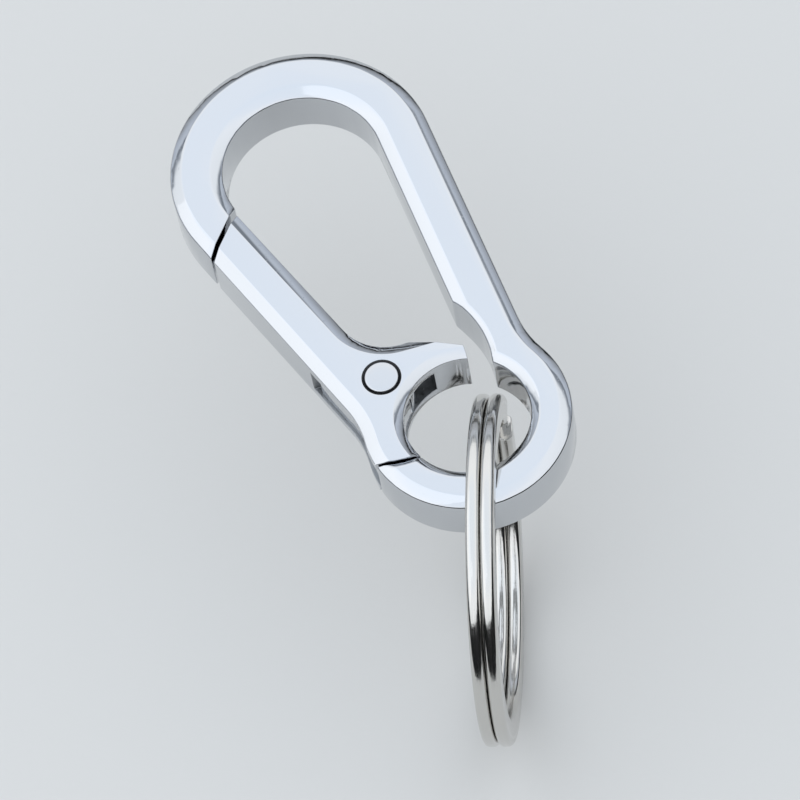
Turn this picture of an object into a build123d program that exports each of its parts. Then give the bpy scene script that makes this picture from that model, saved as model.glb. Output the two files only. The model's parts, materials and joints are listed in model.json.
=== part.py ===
from build123d import *
from math import cos, radians, sin
import os

# Carabiner keyring: a gourd-shaped snap hook with a forked spring gate and a split ring in its key eye.
#
# Frame: the hook lies in the XY plane, +Z out of its front face, +Y along its length towards the crown,
# +X from the gate towards the spine. The origin is the centre of the crown's arc, half way through the
# thickness. The split ring hangs down (-Z) through the key eye. Units are millimetres.

os.makedirs("parts", exist_ok=True)

# ---------------------------------------------------------------- driving dimensions
THICKNESS = 5.6                     # both castings, front face to back face
FACE = THICKNESS / 2
BEVEL_WIDTH = 1.05                  # broad bevel round every face, measured across the face
BEVEL_DEPTH = 0.6                   # and into the thickness
EYE_BEVEL_WIDTH = 0.8               # round the key eye's rim
LIGHT_BEVEL_WIDTH = 0.5             # on the shoulder and the notch, which face the gate
LIGHT_BEVEL_DEPTH = 0.3

CROWN_OUTER_R = 11.55
CROWN_INNER_R = 6.95
ARM_TAPER = 8.2                     # each arm leans in towards the eye, degrees

EYE = Vector(0, -28.9)              # centre of the key eye, below the crown's centre
EYE_HOLE_R = 5.4
EYE_OUTER_R = 8.9
WAIST_R = 9.0                       # hollow where an arm runs into the eye

PIVOT = EYE + Vector(-4.45, 6.75)   # axis of the gate, parallel to Z
PIN_R = 1.45
PIN_PROUD = 0.15                    # the pin's front end stands out of the gate
PIN_BORE_R = PIN_R + 0.05           # running fit in the tongue
PIN_COUNTERSINK = 0.25              # dark groove round the pin's end
PIN_SHY = 0.05                      # the pin's back end lies this far under the gate
PIN_CHAMFER = 0.12

NOSE_ANGLE = 38.0                   # slope of the joint line between nose and gate, degrees
NOSE_POINT = Vector(-7.35, -0.85)   # inner end of the nose's closing face
NOSE_GAP = 0.4

CLEAR = 12.0                        # how far a cutting outline runs past the metal it trims

GATE_INNER_D = 7.2                  # the gate's inner line, from the crown's centre
GATE_TAPER = 9.2
KNEE = PIVOT + Vector(0.05, 3.0)    # where the gate's inner line turns towards the claw
KNEE_R = 4.6
BROW = PIVOT + Vector(3.7, 2.05)    # top of the claw
CLAW_SLOPE = 39.5
CLAW_R = 7.45                       # claw tip, from the pivot
LEG_R = 8.1                         # end of the gate's leg, from the pivot
LEG_EDGE = 3.2                      # the leg's plan ends this far to the right of the pivot
SHOULDER_R = 8.25                   # the frame's matching shoulder
NOTCH_R = 9.45                      # hollow in the spine that faces the claw
NOTCH_START = 10.2                  # the hollow begins this far above the eye's centre
WAIST_LEVEL = EYE.Y + 5.0           # the arms' lines meet the eye's circle near this height

SLOT_HALF = 1.35                    # half width of the gate's slot
TONGUE_HALF = 1.25                  # half thickness of the tongue inside it
TONGUE_HEAD_R = 2.6
TONGUE_RECESS = 0.2                 # the tongue lies this far under the outline
TONGUE_TOP = Vector(-7.6, 4.55)     # the tongue's top edge runs from here to its head
TONGUE_NECK = Vector(-0.9, 2.4)
TONGUE_EDGE = 1.35                  # side of the tongue towards the eye, from the pivot
SLOT_TOP_GAP = 0.75
SLOT_HEAD_R = 2.9
CLAW_POCKET_R = 4.4                 # the slot's end under the claw

WIRE_R = 0.2                        # torsion spring
COIL_R = 1.85
COIL_TURNS = 2
COIL_PITCH = 0.46
COIL_RECESS_R = 2.3
RECESS_FLOOR = -0.2                 # height of the recess floor in the tongue
FIXED_LEG = 3.2
MOVING_LEG = 5.2
LEG_PLAY = 0.06
LEG_GROOVE = 3.2                    # seat of the moving leg in the gate's slot floor
LEG_GROOVE_DEPTH = 0.75

RING_OUTER_R = 15.0                 # 30 mm split ring
RING_WIRE_WIDTH = 2.4               # radially
RING_WIRE_AXIAL = 1.175             # along the ring's axis, for each turn
RING_TURN_GAP = 0.05
RING_EDGE_R = 0.42
RING_HEADING = -30.6                # the ring's axis, turned from +X about Z, degrees
RING_ALONG_AXIS = 1.5               # ring centre from the eye's centre, along its own axis
RING_OUTWARD = 8.9                  # and across it, away from the hook
RING_DROP = 9.1                     # and below the mid plane
RING_STEP_AT = 182.0                # where the wire steps over from one turn to the other, degrees
RING_STEP_ARC = 16.0
RING_END_GAP = 2.0


def arm_line(distance, taper, side):
    """Unit normal of an arm's edge line, and the line's nearest point to the crown's centre."""
    normal = Vector(side * cos(radians(taper)), -sin(radians(taper)))
    return normal, normal * distance


def arm_point(distance, taper, side, y):
    """The point of an arm's edge line at height y."""
    normal, foot = arm_line(distance, taper, side)
    return Vector((distance - y * normal.Y) / normal.X, y)


def flat_side(part, sense):
    """The front face (sense 1) or back face (sense -1) of a casting."""
    return part.faces().sort_by(Axis.Z)[-1 if sense > 0 else 0]


def nearest(edges, point):
    """The edge that passes closest to a point of the plan."""
    return edges.sort_by_distance(Vector(point.X, point.Y, edges[0].center().Z))[0]


# ---------------------------------------------------------------- shared outlines
crown_right = arm_line(CROWN_OUTER_R, ARM_TAPER, 1)[1]
crown_left = arm_line(CROWN_OUTER_R, ARM_TAPER, -1)[1]
eye_line_d = CROWN_OUTER_R - abs(EYE.Y) * sin(radians(ARM_TAPER))

with BuildSketch() as plate:
    Circle(CROWN_OUTER_R)
    with Locations(EYE):
        Circle(EYE_OUTER_R)
    with BuildLine():
        Polyline(
            crown_left,
            crown_right,
            EYE + arm_line(eye_line_d, ARM_TAPER, 1)[1],
            EYE + arm_line(eye_line_d, ARM_TAPER, -1)[1],
            close=True,
        )
    make_face()
    fillet(plate.vertices().filter_by_position(Axis.Y, WAIST_LEVEL - 2, WAIST_LEVEL + 2), WAIST_R)

nose_dir = Vector(-cos(radians(NOSE_ANGLE)), -sin(radians(NOSE_ANGLE)))
nose_normal = Vector(sin(radians(NOSE_ANGLE)), -cos(radians(NOSE_ANGLE)))
gate_end = NOSE_POINT + nose_normal * NOSE_GAP


# ---------------------------------------------------------------- hook frame
spine_top = arm_line(CROWN_INNER_R, ARM_TAPER, 1)[1]
spine_notch = arm_point(CROWN_INNER_R, ARM_TAPER, 1, EYE.Y + NOTCH_START)

with BuildSketch() as frame_plan:
    add(plate.sketch)
    Circle(CROWN_INNER_R, mode=Mode.SUBTRACT)
    with BuildLine():                               # the hook's bay and the room for the gate
        Polyline(
            spine_top,
            spine_notch,
            PIVOT + Vector(6, 0),
            PIVOT + Vector(-CLEAR, 0),
            NOSE_POINT + nose_dir * CLEAR,
            NOSE_POINT - nose_dir * 3,
            close=True,
        )
    make_face(mode=Mode.SUBTRACT)
    with Locations(PIVOT):
        Circle(SHOULDER_R, mode=Mode.SUBTRACT)
    with Locations(EYE):
        Circle(EYE_HOLE_R, mode=Mode.SUBTRACT)

with BuildSketch() as notch_plan:
    with Locations(PIVOT):
        Circle(NOTCH_R)
    with Locations(PIVOT + Vector(-6, 0)):
        Rectangle(19, 3 * NOTCH_R, mode=Mode.SUBTRACT)

with BuildSketch() as tongue_plan:
    add(plate.sketch)
    offset(amount=-TONGUE_RECESS)
    with BuildLine():
        Polyline(
            PIVOT + TONGUE_TOP,
            PIVOT + TONGUE_NECK,
            PIVOT + Vector(TONGUE_EDGE, -2.2),
            PIVOT + Vector(TONGUE_EDGE, -CLEAR),
            PIVOT + Vector(-8, -CLEAR),
            close=True,
        )
    make_face(mode=Mode.INTERSECT)
    with Locations(PIVOT):
        Circle(TONGUE_HEAD_R)
    with Locations(EYE):
        Circle(EYE_HOLE_R + 0.05, mode=Mode.SUBTRACT)

shoulder_middle = PIVOT + Vector(SHOULDER_R, 0).rotate(Axis.Z, -110)
notch_middle = PIVOT + Vector(NOTCH_R, 0)

with BuildPart() as hook_frame:
    with BuildSketch(Plane.XY.offset(-FACE)):
        add(frame_plan.sketch)
        add(notch_plan.sketch, mode=Mode.SUBTRACT)
    extrude(amount=THICKNESS)
    for sense in (1, -1):
        face = flat_side(hook_frame, sense)
        nose_end = nearest(face.edges(), NOSE_POINT + nose_dir * 2.5)
        eye_rim = nearest(face.edges(), EYE + Vector(EYE_HOLE_R, 0))
        light = [nearest(face.edges(), point) for point in (shoulder_middle, notch_middle)]
        broad = [edge for edge in face.edges() if edge not in (nose_end, eye_rim, *light)]
        chamfer(broad, BEVEL_WIDTH, BEVEL_DEPTH, reference=face)
        for point in (shoulder_middle, notch_middle):
            face = flat_side(hook_frame, sense)
            chamfer(nearest(face.edges(), point), LIGHT_BEVEL_WIDTH, LIGHT_BEVEL_DEPTH, reference=face)
        face = flat_side(hook_frame, sense)
        eye_rim = nearest(face.edges(), EYE + Vector(EYE_HOLE_R, 0))
        chamfer(eye_rim, EYE_BEVEL_WIDTH, BEVEL_DEPTH, reference=face)
    with BuildSketch(Plane.XY.offset(-TONGUE_HALF)):                # the tongue
        add(tongue_plan.sketch)
    extrude(amount=2 * TONGUE_HALF)
    with BuildSketch(Plane.XY.offset(RECESS_FLOOR)):                # the spring's recess, open to the front
        with Locations(PIVOT):
            Circle(COIL_RECESS_R)
        with Locations(PIVOT + Vector(-COIL_R, -FIXED_LEG / 2)):
            Rectangle(2 * WIRE_R + 2 * LEG_PLAY, FIXED_LEG + 2 * LEG_PLAY)
        with Locations(PIVOT + Vector(-COIL_R - WIRE_R - LEG_PLAY, 0)):
            Rectangle(2 * COIL_R + 2, TONGUE_HEAD_R + 2, align=(Align.MIN, Align.MIN))
    extrude(amount=2 * TONGUE_HALF, mode=Mode.SUBTRACT)
    with Locations(PIVOT):
        Hole(PIN_BORE_R)

hook_frame.part.label = "hook_frame"
export_step(hook_frame.part, "parts/hook_frame.step")


# ---------------------------------------------------------------- gate
claw_run = Vector(cos(radians(CLAW_SLOPE)), -sin(radians(CLAW_SLOPE)))

with BuildSketch() as arm_plan:                     # the bar above the pivot
    with BuildLine():
        Polyline(
            gate_end + nose_dir * CLEAR,
            gate_end - nose_dir * 6,
            PIVOT + Vector(CLEAR, 16),
            PIVOT + Vector(CLEAR, 0),
            PIVOT + Vector(-CLEAR, 0),
            close=True,
        )
    make_face()
    with BuildLine():                               # trimmed to the gate's inner edge
        Polyline(
            PIVOT + Vector(-CLEAR, 0),
            PIVOT + Vector(-CLEAR, 2 * CLEAR),
            arm_point(GATE_INNER_D, GATE_TAPER, -1, 2),
            KNEE,
            BROW,
            BROW + claw_run * 3,
            PIVOT,
            close=True,
        )
    make_face(mode=Mode.INTERSECT)

with BuildSketch() as leg_plan:
    with Locations(PIVOT):
        Circle(LEG_R)
    with BuildLine():
        Polyline(
            PIVOT + Vector(-CLEAR, 0),
            PIVOT + Vector(LEG_EDGE, 0),
            PIVOT + Vector(LEG_EDGE, -CLEAR),
            PIVOT + Vector(-CLEAR, -CLEAR),
            close=True,
        )
    make_face(mode=Mode.INTERSECT)

with BuildSketch() as claw_plan:
    with Locations(PIVOT):
        Circle(CLAW_R)
    with BuildLine():
        Polyline(
            PIVOT,
            BROW,
            BROW + claw_run * 8,
            PIVOT + Vector(3, -6),
            close=True,
        )
    make_face(mode=Mode.INTERSECT)

with BuildSketch() as gate_plan:
    add(arm_plan.sketch)
    add(leg_plan.sketch)
    add(claw_plan.sketch)
    with Locations(EYE):
        Circle(EYE_HOLE_R, mode=Mode.SUBTRACT)
    add(plate.sketch, mode=Mode.INTERSECT)
    fillet(gate_plan.vertices().sort_by_distance(KNEE)[0], KNEE_R)

slot_lift = Vector(0.23, 0.71).normalized() * SLOT_TOP_GAP
with BuildSketch() as slot_plan:
    with Locations(PIVOT):
        Circle(SLOT_HEAD_R)
    with BuildLine():                               # open to the outer edge, the eye and the leg's end
        Polyline(
            PIVOT + TONGUE_TOP + slot_lift,
            PIVOT + TONGUE_NECK + slot_lift,
            PIVOT + Vector(TONGUE_EDGE + 0.15, -2.2),
            PIVOT + Vector(3, -CLEAR),
            PIVOT + Vector(-CLEAR, -CLEAR),
            close=True,
        )
    make_face()
    with BuildLine():                               # under the claw
        Line(PIVOT, PIVOT + Vector(CLAW_POCKET_R, 0))
        CenterArc(PIVOT, CLAW_POCKET_R, 0, -60)
        Line(PIVOT + Vector(CLAW_POCKET_R * cos(radians(60)), -CLAW_POCKET_R * sin(radians(60))), PIVOT)
    make_face()

with BuildPart() as gate:
    with BuildSketch(Plane.XY.offset(-FACE)):
        add(gate_plan.sketch)
    extrude(amount=THICKNESS)
    for sense in (1, -1):
        face = flat_side(gate, sense)
        eye_rim = nearest(face.edges(), EYE + Vector(-1, EYE_HOLE_R))
        claw_top = nearest(face.edges(), BROW + claw_run * 2)
        claw_tip = nearest(face.edges(), PIVOT + Vector(CLAW_R, 0).rotate(Axis.Z, -12))
        end = nearest(face.edges(), gate_end + nose_dir * 2.5)
        heel = nearest(face.edges(), PIVOT + Vector(LEG_R, 0).rotate(Axis.Z, -110))
        broad = [edge for edge in face.edges() if edge not in (eye_rim, claw_top, claw_tip, end, heel)]
        chamfer(broad, BEVEL_WIDTH, BEVEL_DEPTH, reference=face)
        face = flat_side(gate, sense)
        eye_rim = nearest(face.edges(), EYE + Vector(-1, EYE_HOLE_R))
        chamfer(eye_rim, EYE_BEVEL_WIDTH, BEVEL_DEPTH, reference=face)
    with BuildSketch(Plane.XY.offset(-SLOT_HALF)):
        add(slot_plan.sketch)
    extrude(amount=2 * SLOT_HALF, mode=Mode.SUBTRACT)
    with BuildSketch(Plane.XY.offset(SLOT_HALF)):                   # groove for the spring's moving leg
        with Locations(PIVOT + Vector(-COIL_R, MOVING_LEG)):
            Rectangle(2 * WIRE_R + 2 * LEG_PLAY, LEG_GROOVE, align=(Align.CENTER, Align.MAX))
    extrude(amount=-LEG_GROOVE_DEPTH, mode=Mode.SUBTRACT)
    with Locations(PIVOT):
        Hole(PIN_R)
    bore_edges = gate.edges().filter_by(GeomType.CIRCLE).filter_by(lambda e: abs(e.radius - PIN_R) < 0.01)
    chamfer(bore_edges.sort_by(Axis.Z)[-1], PIN_COUNTERSINK)

gate.part.label = "gate"
export_step(gate.part, "parts/gate.step")


# ---------------------------------------------------------------- pivot pin
with BuildPart() as pivot_pin:
    with BuildSketch(Plane.XY.offset(-FACE + PIN_SHY)):
        with Locations(PIVOT):
            Circle(PIN_R)
    extrude(amount=THICKNESS - PIN_SHY + PIN_PROUD)
    chamfer(pivot_pin.edges().filter_by(GeomType.CIRCLE), PIN_CHAMFER)

pivot_pin.part.label = "pivot_pin"
export_step(pivot_pin.part, "parts/pivot_pin.step")


# ---------------------------------------------------------------- return spring
first_turn = RECESS_FLOOR + WIRE_R + 0.03
last_turn = first_turn + COIL_PITCH * COIL_TURNS
coil_side = PIVOT + Vector(-COIL_R, 0)              # both legs leave the coil here, one down and one up

with BuildPart() as return_spring:
    with BuildLine(Plane(origin=(PIVOT.X, PIVOT.Y, first_turn), x_dir=(-1, 0, 0))) as coil:
        Helix(COIL_PITCH, COIL_PITCH * COIL_TURNS, COIL_R, lefthand=True)
    with BuildSketch(Plane(origin=coil.line @ 0, z_dir=coil.line % 0)):
        Circle(WIRE_R)
    sweep(path=coil.line, is_frenet=True)
    with BuildSketch(Plane(origin=(coil_side.X, coil_side.Y + 0.1, first_turn), z_dir=(0, -1, 0))):
        Circle(WIRE_R)
    extrude(amount=FIXED_LEG + 0.1)
    with BuildSketch(Plane(origin=(coil_side.X, coil_side.Y - 0.1, last_turn), z_dir=(0, 1, 0))):
        Circle(WIRE_R)
    extrude(amount=MOVING_LEG - 0.2)

return_spring.part.label = "return_spring"
export_step(return_spring.part, "parts/return_spring.step")


# ---------------------------------------------------------------- split ring
ring_axis = Vector(1, 0, 0).rotate(Axis.Z, RING_HEADING)
ring_outward = Vector(0, -1, 0).rotate(Axis.Z, RING_HEADING)
ring_centre = EYE + ring_axis * RING_ALONG_AXIS + ring_outward * RING_OUTWARD + Vector(0, 0, -RING_DROP)
ring_plane = Plane(origin=ring_centre, x_dir=ring_outward, z_dir=ring_axis)
wire_mid_r = RING_OUTER_R - RING_WIRE_WIDTH / 2
turn_offset = (RING_WIRE_AXIAL + RING_TURN_GAP) / 2


def wire_section(angle):
    """The plane across the wire at an angle round the ring: X runs outwards, Y along the ring's axis."""
    outwards = ring_outward.rotate(Axis((0, 0, 0), ring_axis), angle)
    return Plane(origin=ring_centre, x_dir=outwards, z_dir=outwards.cross(ring_axis))


step_end = RING_STEP_AT + RING_STEP_ARC
turn_arc = 360 - RING_STEP_ARC - RING_END_GAP

with BuildPart() as split_ring:
    with BuildSketch(wire_section(step_end)):                       # first turn
        with Locations((wire_mid_r, turn_offset)):
            RectangleRounded(RING_WIRE_WIDTH, RING_WIRE_AXIAL, RING_EDGE_R)
    revolve(axis=Axis(ring_centre, ring_axis), revolution_arc=turn_arc)
    with BuildSketch(wire_section(RING_STEP_AT)):                   # second turn
        with Locations((wire_mid_r, -turn_offset)):
            RectangleRounded(RING_WIRE_WIDTH, RING_WIRE_AXIAL, RING_EDGE_R)
    revolve(axis=Axis(ring_centre, ring_axis), revolution_arc=-turn_arc)
    for fraction in (0, 0.25, 0.5, 0.75, 1):                        # the step from one to the other
        sway = -cos(radians(180 * fraction)) * turn_offset
        with BuildSketch(wire_section(RING_STEP_AT + fraction * RING_STEP_ARC)):
            with Locations((wire_mid_r, sway)):
                RectangleRounded(RING_WIRE_WIDTH, RING_WIRE_AXIAL, RING_EDGE_R)
    loft()

split_ring.part.label = "split_ring"
export_step(split_ring.part, "parts/split_ring.step")
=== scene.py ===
import json
from math import cos, pi, radians, sin, tau

import bmesh
import bpy
from mathutils import Matrix, Vector


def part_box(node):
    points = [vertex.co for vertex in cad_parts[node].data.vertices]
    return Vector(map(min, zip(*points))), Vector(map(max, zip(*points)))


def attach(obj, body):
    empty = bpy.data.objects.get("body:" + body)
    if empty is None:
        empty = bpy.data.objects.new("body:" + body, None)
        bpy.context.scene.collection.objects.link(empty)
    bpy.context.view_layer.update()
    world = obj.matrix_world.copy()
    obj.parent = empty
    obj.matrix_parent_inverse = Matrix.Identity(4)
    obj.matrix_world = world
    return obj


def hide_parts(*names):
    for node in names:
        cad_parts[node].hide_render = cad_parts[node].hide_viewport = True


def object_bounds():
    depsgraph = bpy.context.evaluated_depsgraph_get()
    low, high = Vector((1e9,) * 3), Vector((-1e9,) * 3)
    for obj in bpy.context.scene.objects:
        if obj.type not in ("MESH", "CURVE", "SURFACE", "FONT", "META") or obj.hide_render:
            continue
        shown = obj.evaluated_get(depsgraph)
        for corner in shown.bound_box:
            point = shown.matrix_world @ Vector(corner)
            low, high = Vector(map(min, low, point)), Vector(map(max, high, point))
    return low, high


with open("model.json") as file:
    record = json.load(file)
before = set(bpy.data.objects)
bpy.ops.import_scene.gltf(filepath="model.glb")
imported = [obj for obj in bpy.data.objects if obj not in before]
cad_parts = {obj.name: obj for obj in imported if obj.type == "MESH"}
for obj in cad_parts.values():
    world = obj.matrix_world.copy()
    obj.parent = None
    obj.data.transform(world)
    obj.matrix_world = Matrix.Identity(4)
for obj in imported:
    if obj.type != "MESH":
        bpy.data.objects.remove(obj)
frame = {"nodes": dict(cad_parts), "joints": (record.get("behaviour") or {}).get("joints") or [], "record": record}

# Carabiner keyring: a chromed snap hook with a forked spring gate, its pin and spring, and a split ring.
# Metres, in the frame of the CAD model: +Z out of the hook's front face, +Y towards the crown.

bl_info = {
    "name": "Carabiner Keyring",
    "version": (1, 0, 0),
    "blender": (4, 5, 0),
    "location": "View3D > Sidebar > Keyring",
    "description": "Finishes the castings, pin, spring and split ring of a carabiner keyring and lights them",
    "category": "Object",
}

CAD_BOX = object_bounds()
MM = 0.001
JOINTS = {joint["name"]: joint for joint in frame["joints"]}
MOUNTS = {mount["name"]: mount for mount in frame["record"]["mounts"]}
PIVOT = Vector(JOINTS["gate_hinge"]["pos_m"])
RING_CENTRE = Vector(MOUNTS["key_ring"]["pos_m"])
RING_AXIS = Vector(MOUNTS["key_ring"]["axis"]).normalized()
RING_LOW, RING_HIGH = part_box("split_ring")
PIN_LOW, PIN_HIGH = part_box("pivot_pin")
SPRING_LOW, SPRING_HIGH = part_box("return_spring")

REAL_EDGE = radians(18)                     # a sharper turn than this is an edge, a gentler one a curve's facet
# Faces within these heights lie inside the slot and take the darker slot plate, partly painted shade.
TONGUE_LEVEL = 1.3 * MM                     # the tongue's flats lie within this height
SLOT_LEVEL = 1.36 * MM                      # and the walls of the gate's slot within this one
# The walls of the groove round the pin are painted grey-black as shade.
GROOVE_LEVEL, GROOVE_RADIUS = 2.3 * MM, 1.8 * MM    # the groove round the pin: above and within
WIRE_SIDES = 14
TURN_STEPS = 200                            # facets along one turn of the split ring
STEP_STEPS = 14                             # and along its step
COIL_STEPS = 48                             # facets along one turn of the spring
WIRE_END_BREAK = 0.3                        # broken rim of a spring wire's end, in wire radii
RING_END_BREAK = 0.09 * MM
AIM = Vector((0, -28.9, 2.2)) * MM          # the key eye's middle, just under the front face
AIM_ASIDE, AIM_ABOVE = -5.639 * MM, 1.252 * MM      # where the picture's middle lies from there
TENT_STRENGTH = 1.6
TENT_LEAN = -0.1                            # the tent's shades hang lower on the spine's side
TENT_SHADES = (
    (0.0, "#1B1B1A"), (0.012, "#5A5D61"), (0.05, "#8D9196"), (0.2, "#AEB5C0"), (0.26, "#B8BFC9"),
    (0.29, "#6B7178"), (0.33, "#8B9199"), (0.39, "#E2E6EA"), (0.72, "#E9EDF2"), (0.82, "#E2E9F2"), (1.0, "#DEE7F2"))
KEY_PLACE, KEY_SIZE, KEY_POWER = Vector((-0.45, 0.1, 0.55)), (0.9, 0.7), 0.4
FLAG_RADIUS, FLAG_TOP, FLAG_LEAN = 0.13, 18 * MM, -0.35


def linear(hex_colour):
    """An sRGB hex colour as linear RGBA."""
    values = [int(hex_colour[i:i + 2], 16) / 255 for i in (1, 3, 5)]
    return [v / 12.92 if v <= 0.04045 else ((v + 0.055) / 1.055) ** 2.4 for v in values] + [1.0]


# ---------------------------------------------------------------- settings
def length(name, description, millimetres):
    return bpy.props.FloatProperty(
        name=name, description=description, default=millimetres * MM, min=0, unit="LENGTH", precision=5)


def colour(name, description, hex_colour):
    return bpy.props.FloatVectorProperty(
        name=name, description=description, default=linear(hex_colour), size=4, min=0, max=1, subtype="COLOR")


class CastingSettings(bpy.types.PropertyGroup):
    edge_radius: length("Edge Radius", "Radius that polishing leaves on every edge of the castings", 0.14)
    edge_facets: bpy.props.IntProperty(
        name="Edge Facets", description="Facets across each rounded edge", default=4, min=1, max=6)
    chrome: colour("Chrome", "Colour of the bright chrome plate", "#C9CBCE")
    # Slot colour: darker than the chrome, partly for the duller unpolished plate and partly as painted shade on the
    # faces inside the slot.
    slot_colour_dull_and_shaded: colour("Recess", "Colour of the dull plate inside the slot", "#8F9193")
    # Groove colour: grey-black painted shade on the walls of the groove round the pin.
    groove_shade_colour: colour("Groove Shade", "Colour of the polishing compound left in the groove round the pin", "#1A1B1D")


class PinSettings(bpy.types.PropertyGroup):
    dome: length("Dome", "How far the pin's end is domed", 0.05)
    edge_radius: length("Edge Radius", "Radius round the pin's end", 0.13)
    steel: colour("Steel", "Colour of the turned and plated pin", "#C7C8CA")


class SpringSettings(bpy.types.PropertyGroup):
    wire_radius: length("Wire Radius", "Radius of the spring's wire", 0.2)
    turns: bpy.props.IntProperty(name="Turns", description="Turns in the coil", default=2, min=1)
    steel: colour("Steel", "Colour of drawn spring wire", "#9A9894")


class RingSettings(bpy.types.PropertyGroup):
    wire_width: length("Wire Width", "Width of the flat wire, measured outwards", 2.4)
    turn_gap: length("Turn Gap", "Gap between the two turns", 0.05)
    edge_radius: length("Edge Radius", "Rounding of the rolled wire's edges", 0.46)
    step_at: bpy.props.FloatProperty(
        name="Step", description="Where the wire steps over from one turn to the other",
        default=radians(182), subtype="ANGLE")
    step_arc: bpy.props.FloatProperty(
        name="Step Arc", description="Arc that the step takes", default=radians(16), subtype="ANGLE")
    end_gap: bpy.props.FloatProperty(
        name="End Gap", description="Gap between a wire end and the step", default=radians(2), subtype="ANGLE")
    nickel: colour("Nickel", "Colour of nickel plate on the ring", "#CECCC8")


class StageSettings(bpy.types.PropertyGroup):
    floor: colour("Floor", "Colour of the paper floor", "#C9C8C5")
    focal_length: bpy.props.FloatProperty(
        name="Focal Length", description="Focal length of the camera in millimetres", default=267.75, min=1)
    distance: length("Distance", "From the camera to the key eye", 500)
    azimuth: bpy.props.FloatProperty(
        name="Azimuth", description="Camera's turn about the hook", default=radians(-18.69), subtype="ANGLE")
    elevation: bpy.props.FloatProperty(
        name="Elevation", description="Camera's height above the hook's plane", default=radians(60.56),
        subtype="ANGLE")
    roll: bpy.props.FloatProperty(
        name="Roll", description="Camera's turn about its own line of sight", default=radians(-12.1),
        subtype="ANGLE")


# ---------------------------------------------------------------- nodes
def add_node(tree, kind, inputs=None, links=None, **settings):
    """Adds a node, sets its properties and inputs, and links outputs of earlier nodes into it."""
    node = tree.nodes.new(kind)
    for name, value in settings.items():
        setattr(node, name, value)
    for name, value in (inputs or {}).items():
        node.inputs[name].default_value = value
    for name, output in (links or {}).items():
        tree.links.new(output, node.inputs[name])
    return node


def new_material(name, base, metallic, roughness):
    """A material with its shader and output, and the object coordinates for its patterns."""
    material = bpy.data.materials.new(name)
    material.use_nodes = True
    tree = material.node_tree
    tree.nodes.clear()
    shader = add_node(
        tree, "ShaderNodeBsdfPrincipled", {"Base Color": base, "Metallic": metallic, "Roughness": roughness})
    add_node(tree, "ShaderNodeOutputMaterial", links={"Surface": shader.outputs["BSDF"]})
    place = add_node(tree, "ShaderNodeTexCoord").outputs["Object"]
    return material, tree, shader, place


def spread(tree, value, low, high, to_low, to_high):
    """Maps low..high of a pattern onto to_low..to_high."""
    return add_node(
        tree, "ShaderNodeMapRange",
        {"From Min": low, "From Max": high, "To Min": to_low, "To Max": to_high},
        {"Value": value}).outputs["Result"]


def noise(tree, place, size, detail=2.0):
    """Noise whose cells are about size across, in metres."""
    return add_node(
        tree, "ShaderNodeTexNoise", {"Scale": 1 / size, "Detail": detail}, {"Vector": place}).outputs["Fac"]


def stretched(tree, place, turn, stretch):
    """Coordinates turned about Z and squeezed along X, so that a pattern is drawn out into hairlines."""
    return add_node(
        tree, "ShaderNodeMapping", {"Rotation": (0, 0, turn), "Scale": (stretch, 1, 1)},
        {"Vector": place}).outputs["Vector"]


def bump(tree, height, depth, below=None):
    """A bump of a real depth in metres, over an earlier one."""
    node = add_node(tree, "ShaderNodeBump", {"Strength": 1.0, "Distance": depth}, {"Height": height})
    if below is not None:
        tree.links.new(below, node.inputs["Normal"])
    return node.outputs["Normal"]


def chrome_plate(settings):
    """Bright chrome over polished zinc die casting: a near mirror that waves softly where the buffing wheel
    has rolled the surface, with thin handling scratches and a faint bloom that dulls the reflections in patches."""
    material, tree, shader, place = new_material("bright_chrome_plate", settings.chrome, 1.0, 0.05)
    wave = noise(tree, place, 5.5 * MM, 1.0)
    ripple = noise(tree, place, 1.6 * MM, 2.0)
    scratch_a = noise(tree, stretched(tree, place, radians(24), 0.05), 0.16 * MM, 1.0)
    scratch_b = noise(tree, stretched(tree, place, radians(-52), 0.04), 0.14 * MM, 1.0)
    lines_a = spread(tree, scratch_a, 0.70, 0.78, 0.0, 1.0)
    lines_b = spread(tree, scratch_b, 0.71, 0.79, 0.0, 1.0)
    lines = add_node(tree, "ShaderNodeMath", operation="MAXIMUM")
    tree.links.new(lines_a, lines.inputs[0])
    tree.links.new(lines_b, lines.inputs[1])
    bloom = spread(tree, noise(tree, place, 7 * MM, 4.0), 0.42, 0.7, 0.045, 0.12)
    rough = add_node(tree, "ShaderNodeMath", operation="MULTIPLY_ADD")
    tree.links.new(lines.outputs["Value"], rough.inputs[0])
    rough.inputs[1].default_value = 0.12
    tree.links.new(bloom, rough.inputs[2])
    tree.links.new(rough.outputs["Value"], shader.inputs["Roughness"])
    normal = bump(tree, wave, 0.005 * MM)
    normal = bump(tree, ripple, 0.0004 * MM, normal)
    normal = bump(tree, lines.outputs["Value"], -0.0015 * MM, normal)
    tree.links.new(normal, shader.inputs["Normal"])
    return material


def dull_slot_plate_with_shade(settings):
    """The same plate where the wheel can't reach, over the as-cast skin: duller and softly pebbled, and darker,
    partly as painted shade inside the slot.
    """
    material, tree, shader, place = new_material("dull_plate_and_painted_shade_in_slot", settings.slot_colour_dull_and_shaded, 1.0, 0.34)
    skin = noise(tree, place, 0.35 * MM, 4.0)
    tree.links.new(spread(tree, skin, 0.3, 0.7, 0.26, 0.46), shader.inputs["Roughness"])
    tree.links.new(bump(tree, skin, 0.02 * MM), shader.inputs["Normal"])
    return material


def painted_groove_shade(settings):
    """Painted shade on the walls of the groove round the pin: grey-black, dull and a little lumpy."""
    material, tree, shader, place = new_material("grey_black_shade_in_groove", settings.groove_shade_colour, 0.0, 0.45)
    lumps = noise(tree, place, 0.25 * MM, 3.0)
    tree.links.new(spread(tree, lumps, 0.3, 0.7, 0.35, 0.6), shader.inputs["Roughness"])
    tree.links.new(bump(tree, lumps, 0.03 * MM), shader.inputs["Normal"])
    return material


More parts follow.
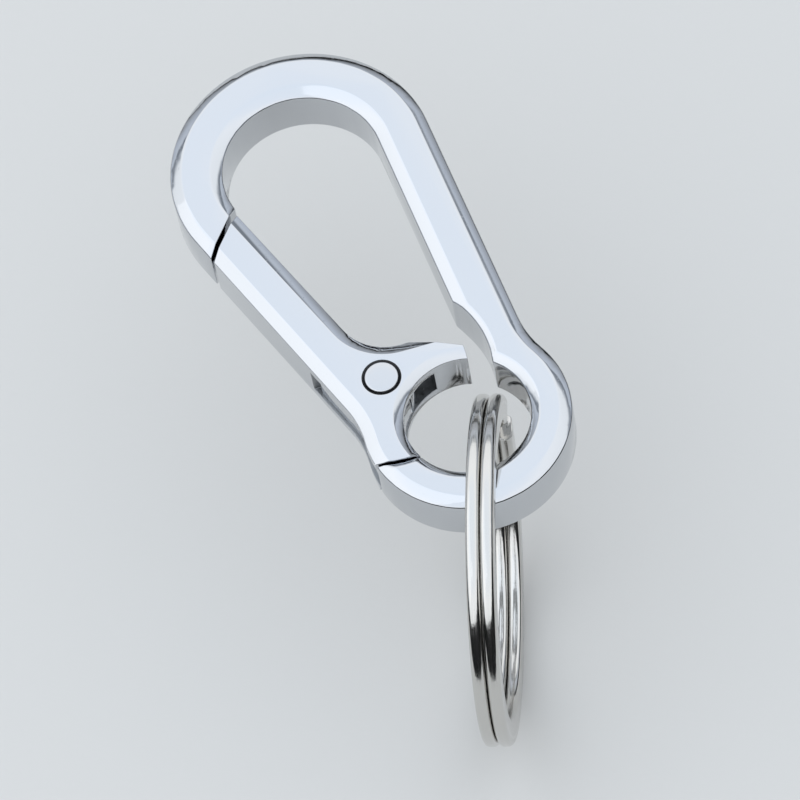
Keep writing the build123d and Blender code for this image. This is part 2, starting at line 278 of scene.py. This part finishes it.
def turned_steel(settings):
    """A turned and plated steel pin: bright, with fine rings from the lathe round its own axis."""
    material, tree, shader, place = new_material("turned_pin_steel", settings.steel, 1.0, 0.1)
    centred = add_node(
        tree, "ShaderNodeMapping", {"Location": (-PIVOT.x, -PIVOT.y, 0)}, {"Vector": place}).outputs["Vector"]
    rings = add_node(
        tree, "ShaderNodeTexWave", {"Scale": 1 / (6.5 * MM), "Distortion": 1.2, "Detail": 2.0, "Detail Scale": 3.0},
        {"Vector": centred}, wave_type="RINGS", rings_direction="Z").outputs["Fac"]
    tree.links.new(spread(tree, rings, 0.0, 1.0, 0.07, 0.17), shader.inputs["Roughness"])
    normal = bump(tree, rings, 0.0012 * MM)
    normal = bump(tree, noise(tree, place, 0.9 * MM), 0.004 * MM, normal)
    tree.links.new(normal, shader.inputs["Normal"])
    return material


def spring_wire(settings):
    """Drawn spring steel: grey, half bright, with a thin oily film that is browner in places."""
    material, tree, shader, place = new_material("drawn_spring_steel", settings.steel, 1.0, 0.3)
    film = noise(tree, place, 0.8 * MM, 3.0)
    tint = add_node(tree, "ShaderNodeValToRGB", links={"Fac": film})
    tint.color_ramp.elements[0].position = 0.35
    tint.color_ramp.elements[0].color = linear("#86827B")
    tint.color_ramp.elements[1].position = 0.65
    tint.color_ramp.elements[1].color = settings.steel
    tree.links.new(tint.outputs["Color"], shader.inputs["Base Color"])
    tree.links.new(spread(tree, film, 0.3, 0.7, 0.2, 0.4), shader.inputs["Roughness"])
    return material


def nickel_plate(settings):
    """Nickel plate over rolled spring steel, tumbled bright: warmer than chrome, with fine lines that run along
    the wire from the rolls, small dents from tumbling and soft, uneven reflections."""
    material, tree, shader, place = new_material("tumbled_nickel_plate", settings.nickel, 1.0, 0.12)
    turn = RING_AXIS.to_track_quat("Z", "Y").to_matrix().to_4x4().inverted()
    centred = add_node(
        tree, "ShaderNodeMapping", {"Location": turn @ -RING_CENTRE, "Rotation": turn.to_euler()},
        {"Vector": place}).outputs["Vector"]
    parts = add_node(tree, "ShaderNodeSeparateXYZ", links={"Vector": centred}).outputs
    flat = add_node(tree, "ShaderNodeCombineXYZ", links={"X": parts["X"], "Y": parts["Y"]}).outputs["Vector"]
    radius = add_node(tree, "ShaderNodeVectorMath", links={"Vector": flat}, operation="LENGTH").outputs["Value"]
    across = add_node(tree, "ShaderNodeCombineXYZ", links={"X": radius, "Y": parts["Z"]}).outputs["Vector"]
    rolled = noise(tree, across, 0.14 * MM, 2.0)
    dents = noise(tree, place, 1.5 * MM, 3.0)
    tree.links.new(spread(tree, rolled, 0.35, 0.65, 0.07, 0.2), shader.inputs["Roughness"])
    normal = bump(tree, rolled, 0.006 * MM)
    normal = bump(tree, dents, 0.02 * MM, normal)
    tree.links.new(normal, shader.inputs["Normal"])
    return material


# ---------------------------------------------------------------- meshes
def finished(mesh, name, body, slot, node, *materials):
    """Turns a bmesh into a piece that rides on its body and stands for its CAD node."""
    for face in mesh.faces:
        face.smooth = True
    data = bpy.data.meshes.new(name)
    mesh.to_mesh(data)
    mesh.free()
    for material in materials:
        data.materials.append(material)
    piece = bpy.data.objects.new(name, data)
    bpy.context.scene.collection.objects.link(piece)
    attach(piece, body)
    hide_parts(node)
    return piece


def casting(node, name, body, edge_radius, facets, plates_and_painted_shades, plate_and_shade_of_face):
    """A casting with its edges polished round; the last argument gives each face's material number: bright plate,
    the darker slot plate that is partly painted shade, or grey-black painted shade round the pin.
    """
    mesh = bmesh.new()
    mesh.from_mesh(frame["nodes"][node].data)
    bmesh.ops.remove_doubles(mesh, verts=mesh.verts, dist=0.002 * MM)
    bmesh.ops.dissolve_limit(mesh, angle_limit=radians(0.6), verts=mesh.verts, edges=mesh.edges)
    for face in mesh.faces:
        face.material_index = plate_and_shade_of_face(face)
    piece = finished(mesh, name, body, "plated_casting", node, *plates_and_painted_shades)
    bevel = piece.modifiers.new("rounded_edges", "BEVEL")
    bevel.width = edge_radius
    bevel.segments = facets
    bevel.limit_method = "ANGLE"
    bevel.angle_limit = REAL_EDGE
    bevel.use_clamp_overlap = node == "gate"        # its claw runs out to a sharp tip, where wide edges would cross
    bevel.harden_normals = True


def wire_ring(mesh, centre, outwards, along, radius, sides):
    """A closed loop of edges across a wire: a circle in the plane of outwards and along."""
    made = bmesh.ops.create_circle(mesh, segments=sides, radius=radius)
    axes = Matrix((outwards, along, outwards.cross(along))).transposed().to_4x4()
    bmesh.ops.transform(mesh, matrix=Matrix.Translation(centre) @ axes, verts=made["verts"])
    return made["verts"]


def loop_edges(verts):
    """The edges between these vertices."""
    chosen = set(verts)
    return list({edge for vert in verts for edge in vert.link_edges if edge.other_vert(vert) in chosen})


def swept(mesh, verts, **spin):
    """Spins a wire's open end on and returns its new end."""
    grown = bmesh.ops.spin(mesh, geom=verts + loop_edges(verts), **spin)
    return [item for item in grown["geom_last"] if isinstance(item, bmesh.types.BMVert)]


def run_on(mesh, verts, step):
    """Carries a wire's open end straight on and returns its new end."""
    grown = bmesh.ops.extrude_edge_only(mesh, edges=loop_edges(verts))
    ends = [item for item in grown["geom"] if isinstance(item, bmesh.types.BMVert)]
    bmesh.ops.translate(mesh, vec=step, verts=ends)
    return ends


def close_end(mesh, verts, radius):
    """Closes a wire's open end with a cut face whose rim is broken."""
    cap = bmesh.ops.contextual_create(mesh, geom=loop_edges(verts))["faces"]
    rim = [edge for face in cap for edge in face.edges]
    bmesh.ops.bevel(
        mesh, geom=rim, offset=radius, offset_type="OFFSET", segments=2, profile=0.5, affect="EDGES", material=-1)


def face_out(mesh):
    bmesh.ops.remove_doubles(mesh, verts=mesh.verts, dist=0.0005 * MM)
    bmesh.ops.recalc_face_normals(mesh, faces=mesh.faces)


# ---------------------------------------------------------------- operators
class KEYRING_OT_stage(bpy.types.Operator):
    """Lays the paper floor, hangs the lights and places the camera"""

    bl_idname = "keyring.stage"
    bl_label = "Studio Stage"

    def execute(self, context):
        scene = context.scene
        settings = scene.keyring_stage
        scene.view_settings.view_transform = "Standard"
        self.lay_floor(scene, settings)
        self.place_camera(scene, settings)
        self.light(scene)
        self.hang_flag(scene)
        return {"FINISHED"}

    def lay_floor(self, scene, settings):
        mesh = bmesh.new()
        bmesh.ops.create_grid(mesh, x_segments=1, y_segments=1, size=1.5)
        bmesh.ops.translate(mesh, vec=(0, 0, CAD_BOX[0].z), verts=mesh.verts)
        data = bpy.data.meshes.new("paper_floor")
        mesh.to_mesh(data)
        mesh.free()
        material, tree, shader, place = new_material("matte_white_paper", settings.floor, 0.0, 0.85)
        fibre = noise(tree, place, 0.6 * MM, 4.0)
        tree.links.new(bump(tree, fibre, 0.01 * MM), shader.inputs["Normal"])
        data.materials.append(material)
        floor = bpy.data.objects.new("paper_floor", data)
        scene.collection.objects.link(floor)

    def place_camera(self, scene, settings):
        turn, height, roll = settings.azimuth, settings.elevation, settings.roll
        back = Vector((sin(turn) * cos(height), -cos(turn) * cos(height), sin(height)))
        level = Vector((cos(turn), sin(turn), 0))
        right = level * cos(roll) + back.cross(level) * sin(roll)
        up = back.cross(right)
        place = AIM + right * AIM_ASIDE + up * AIM_ABOVE + back * settings.distance
        data = bpy.data.cameras.new("camera")
        data.lens = settings.focal_length
        data.sensor_width = 36
        camera = bpy.data.objects.new("camera", data)
        scene.collection.objects.link(camera)
        camera.matrix_world = Matrix.Translation(place) @ Matrix((right, up, back)).transposed().to_4x4()
        scene.camera = camera

    def light(self, scene):
        world = bpy.data.worlds.new("light_tent")
        scene.world = world
        world.use_nodes = True
        tree = world.node_tree
        tree.nodes.clear()
        direction = add_node(tree, "ShaderNodeTexCoord").outputs["Generated"]
        height = add_node(
            tree, "ShaderNodeVectorMath", {1: (TENT_LEAN, 0, 1)}, {0: direction}, operation="DOT_PRODUCT")
        tent = add_node(tree, "ShaderNodeValToRGB", links={"Fac": height.outputs["Value"]})
        ramp = tent.color_ramp
        while len(ramp.elements) < len(TENT_SHADES):
            ramp.elements.new(0.5)
        for element, (position, shade) in zip(ramp.elements, TENT_SHADES):
            element.position = position
            element.color = linear(shade)
        sky = add_node(tree, "ShaderNodeBackground", {"Strength": TENT_STRENGTH}, {"Color": tent.outputs["Color"]})
        add_node(tree, "ShaderNodeOutputWorld", links={"Surface": sky.outputs["Background"]})
        data = bpy.data.lights.new("key_softbox", "AREA")
        data.shape = "RECTANGLE"
        data.size, data.size_y = KEY_SIZE
        data.energy = KEY_POWER
        key = bpy.data.objects.new("key_softbox", data)
        scene.collection.objects.link(key)
        key.matrix_world = Matrix.Translation(KEY_PLACE) @ KEY_PLACE.to_track_quat("Z", "Y").to_matrix().to_4x4()

    def hang_flag(self, scene):
        """A low black band round the object, seen only in reflections, which draws the dark lines that show
        where polished metal turns an edge."""
        mesh = bmesh.new()
        foot = bmesh.ops.create_circle(mesh, segments=96, radius=FLAG_RADIUS)["verts"]
        grown = bmesh.ops.extrude_edge_only(mesh, edges=mesh.edges[:])["geom"]
        top = [item for item in grown if isinstance(item, bmesh.types.BMVert)]
        slant = Matrix(((1, 0, 0, 0), (0, 1, 0, 0), (0, FLAG_LEAN, 1, FLAG_TOP), (0, 0, 0, 1)))
        bmesh.ops.transform(mesh, matrix=slant, verts=top)      # tall below the key eye, low behind the crown
        bmesh.ops.translate(mesh, vec=(0, 0, CAD_BOX[0].z - 1 * MM), verts=foot)
        bmesh.ops.translate(mesh, vec=(0, -20 * MM, 0), verts=mesh.verts)
        data = bpy.data.meshes.new("black_flag")
        mesh.to_mesh(data)
        mesh.free()
        data.materials.append(new_material("black_velvet_flag", linear("#070707"), 0.0, 1.0)[0])
        flag = bpy.data.objects.new("black_flag", data)
        scene.collection.objects.link(flag)
        flag.visible_camera = False
        flag.visible_diffuse = False
        flag.visible_shadow = False


class KEYRING_OT_castings(bpy.types.Operator):
    """Polishes and chromes the hook and the gate"""

    bl_idname = "keyring.castings"
    bl_label = "Chromed Castings"

    def execute(self, context):
        settings = context.scene.keyring_castings
        # The materials by number: bright chrome, the darker slot plate that is partly painted shade, and grey-black
        # painted shade for the groove round the pin.
        plates_and_painted_shades = chrome_plate(settings), dull_slot_plate_with_shade(settings), painted_groove_shade(settings)

        def hook_face_plate_and_shade(face):
            # The tongue's flats, inside the slot, take the darker plate, partly painted shade.
            tongue = all(abs(vert.co.z) < TONGUE_LEVEL for vert in face.verts)
            return int(tongue and abs(face.normal.z) > 0.9)

        def gate_face_plate_and_shade(face):
            middle = face.calc_center_median()
            # Groove walls round the pin take the grey-black painted shade; faces inside the slot take the darker
            # plate, partly painted shade.
            groove = middle.z > GROOVE_LEVEL and (middle - PIVOT).xy.length < GROOVE_RADIUS
            if groove and face.normal.z < 0.95:
                return 2
            return int(all(abs(vert.co.z) < SLOT_LEVEL for vert in face.verts))

        facets = settings.edge_facets
        casting("hook_frame", "chromed_hook", "hook", settings.edge_radius, facets, plates_and_painted_shades, hook_face_plate_and_shade)
        casting("gate", "chromed_gate", "gate", settings.edge_radius, facets, plates_and_painted_shades, gate_face_plate_and_shade)
        return {"FINISHED"}


class KEYRING_OT_pin(bpy.types.Operator):
    """Turns the pivot pin with a slightly domed, rounded end"""

    bl_idname = "keyring.pin"
    bl_label = "Pivot Pin"

    def execute(self, context):
        settings = context.scene.keyring_pin
        radius = (PIN_HIGH.x - PIN_LOW.x) / 2
        mesh = bmesh.new()
        outline = ((0, PIN_LOW.z), (radius, PIN_LOW.z), (radius, PIN_HIGH.z - settings.dome),
                   (radius * 0.55, PIN_HIGH.z - settings.dome * 0.25), (0, PIN_HIGH.z))
        points = [mesh.verts.new((PIVOT.x + x, PIVOT.y, z)) for x, z in outline]
        for start, end in zip(points, points[1:]):
            mesh.edges.new((start, end))
        bmesh.ops.bevel(
            mesh, geom=points[1:3], offset=settings.edge_radius, offset_type="OFFSET", segments=4, profile=0.5,
            affect="VERTICES", material=-1)
        bmesh.ops.spin(
            mesh, geom=mesh.verts[:] + mesh.edges[:], cent=PIVOT, axis=(0, 0, 1), angle=tau, steps=72,
            use_merge=True)
        face_out(mesh)
        finished(mesh, "domed_pin", "gate", "pin_steel", "pivot_pin", turned_steel(settings))
        return {"FINISHED"}


class KEYRING_OT_spring(bpy.types.Operator):
    """Winds the return spring, whose upper leg moves with the gate"""

    bl_idname = "keyring.spring"
    bl_label = "Return Spring"

    def execute(self, context):
        settings = context.scene.keyring_spring
        steel = spring_wire(settings)
        wire = settings.wire_radius
        coil = (SPRING_HIGH.x - SPRING_LOW.x) / 2 - wire
        side = PIVOT + Vector((-coil, 0, 0))
        low, high = SPRING_LOW.z + wire, SPRING_HIGH.z - wire
        up, lengthwise = Vector((0, 0, 1)), Vector((0, 1, 0))
        rise = (high - low) / (COIL_STEPS * settings.turns)

        mesh = bmesh.new()                                  # coil and fixed leg, in the tongue
        start = wire_ring(mesh, Vector((side.x, SPRING_LOW.y, low)), Vector((1, 0, 0)), up, wire, WIRE_SIDES)
        foot = run_on(mesh, start, lengthwise * (side.y - SPRING_LOW.y))
        turned = swept(
            mesh, foot, cent=PIVOT, axis=-up, dvec=up * rise, angle=tau * settings.turns - radians(20),
            steps=COIL_STEPS * settings.turns - 3)
        close_end(mesh, start, wire * WIRE_END_BREAK)
        close_end(mesh, turned, wire * WIRE_END_BREAK)
        face_out(mesh)
        finished(mesh, "spring_coil", "hook", "spring_wire", "return_spring", steel)

        mesh = bmesh.new()                                  # moving leg with the last of the coil
        start = wire_ring(mesh, Vector((side.x, side.y, high)), Vector((1, 0, 0)), up, wire, WIRE_SIDES)
        tip = run_on(mesh, start, lengthwise * (SPRING_HIGH.y - side.y))
        back = swept(mesh, start, cent=PIVOT, axis=up, dvec=-up * rise, angle=radians(60), steps=8)
        close_end(mesh, tip, wire * WIRE_END_BREAK)
        close_end(mesh, back, wire * WIRE_END_BREAK)
        face_out(mesh)
        finished(mesh, "spring_leg", "gate", "spring_wire", "return_spring", steel)
        return {"FINISHED"}


class KEYRING_OT_ring(bpy.types.Operator):
    """Winds the split ring from one rolled wire in two turns"""

    bl_idname = "keyring.ring"
    bl_label = "Split Ring"

    def execute(self, context):
        settings = context.scene.keyring_ring
        outer = (RING_HIGH.z - RING_LOW.z) / 2
        down = Vector((0, 0, -1))
        outwards = down.cross(RING_AXIS)                    # from the hook's eye towards the ring's middle
        points = [vertex.co for vertex in frame["nodes"]["split_ring"].data.vertices]
        reach = max((point - RING_CENTRE).dot(RING_AXIS) for point in points)
        axial = reach - settings.turn_gap / 2
        offset = (axial + settings.turn_gap) / 2
        width = settings.wire_width

        mesh = bmesh.new()
        section = bmesh.ops.create_grid(mesh, x_segments=1, y_segments=1, size=0.5)["verts"]
        bmesh.ops.delete(mesh, geom=mesh.faces[:], context="FACES_ONLY")
        bmesh.ops.scale(mesh, vec=(width, axial, 1), verts=section)
        bmesh.ops.bevel(
            mesh, geom=section, offset=settings.edge_radius, offset_type="OFFSET", segments=7, profile=0.5,
            affect="VERTICES", material=-1)
        section = mesh.verts[:]
        angle = settings.step_at - settings.end_gap         # the first turn's free end
        turned = Matrix.Rotation(angle, 3, RING_AXIS) @ outwards
        axes = Matrix((turned, RING_AXIS, turned.cross(RING_AXIS))).transposed().to_4x4()
        centre = RING_CENTRE + turned * (outer - width / 2) + RING_AXIS * offset
        bmesh.ops.transform(mesh, matrix=Matrix.Translation(centre) @ axes, verts=section)

        turn = tau - settings.step_arc - settings.end_gap
        first = swept(mesh, section, cent=RING_CENTRE, axis=-RING_AXIS, angle=turn, steps=TURN_STEPS)
        for step in range(STEP_STEPS):                      # the wire steps over to the second turn
            here, there = (cos(pi * (step + k) / STEP_STEPS) * offset for k in (0, 1))
            first = swept(
                mesh, first, cent=RING_CENTRE, axis=-RING_AXIS, dvec=RING_AXIS * (there - here),
                angle=settings.step_arc / STEP_STEPS, steps=1)
        last = swept(mesh, first, cent=RING_CENTRE, axis=-RING_AXIS, angle=turn, steps=TURN_STEPS)
        close_end(mesh, section, RING_END_BREAK)
        close_end(mesh, last, RING_END_BREAK)
        face_out(mesh)
        finished(mesh, "split_ring_wire", "key_ring", "ring_steel", "split_ring", nickel_plate(settings))
        return {"FINISHED"}


class KEYRING_PT_panel(bpy.types.Panel):
    """The keyring's making steps"""

    bl_label = "Carabiner Keyring"
    bl_idname = "KEYRING_PT_panel"
    bl_space_type = "VIEW_3D"
    bl_region_type = "UI"
    bl_category = "Keyring"

    def draw(self, context):
        for operator in OPERATORS:
            self.layout.operator(operator.bl_idname)


GROUPS = {
    "keyring_castings": CastingSettings,
    "keyring_pin": PinSettings,
    "keyring_spring": SpringSettings,
    "keyring_ring": RingSettings,
    "keyring_stage": StageSettings,
}
OPERATORS = (KEYRING_OT_stage, KEYRING_OT_castings, KEYRING_OT_pin, KEYRING_OT_spring, KEYRING_OT_ring)


def register():
    for name, group in GROUPS.items():
        bpy.utils.register_class(group)
        setattr(bpy.types.Scene, name, bpy.props.PointerProperty(type=group))
    for cls in (*OPERATORS, KEYRING_PT_panel):
        bpy.utils.register_class(cls)


def unregister():
    for cls in (KEYRING_PT_panel, *reversed(OPERATORS)):
        bpy.utils.unregister_class(cls)
    for name, group in GROUPS.items():
        delattr(bpy.types.Scene, name)
        bpy.utils.unregister_class(group)


def main():
    register()
    bpy.ops.keyring.stage()
    bpy.ops.keyring.castings()
    bpy.ops.keyring.pin()
    bpy.ops.keyring.spring()
    bpy.ops.keyring.ring()


if __name__ == "__main__":
    main()
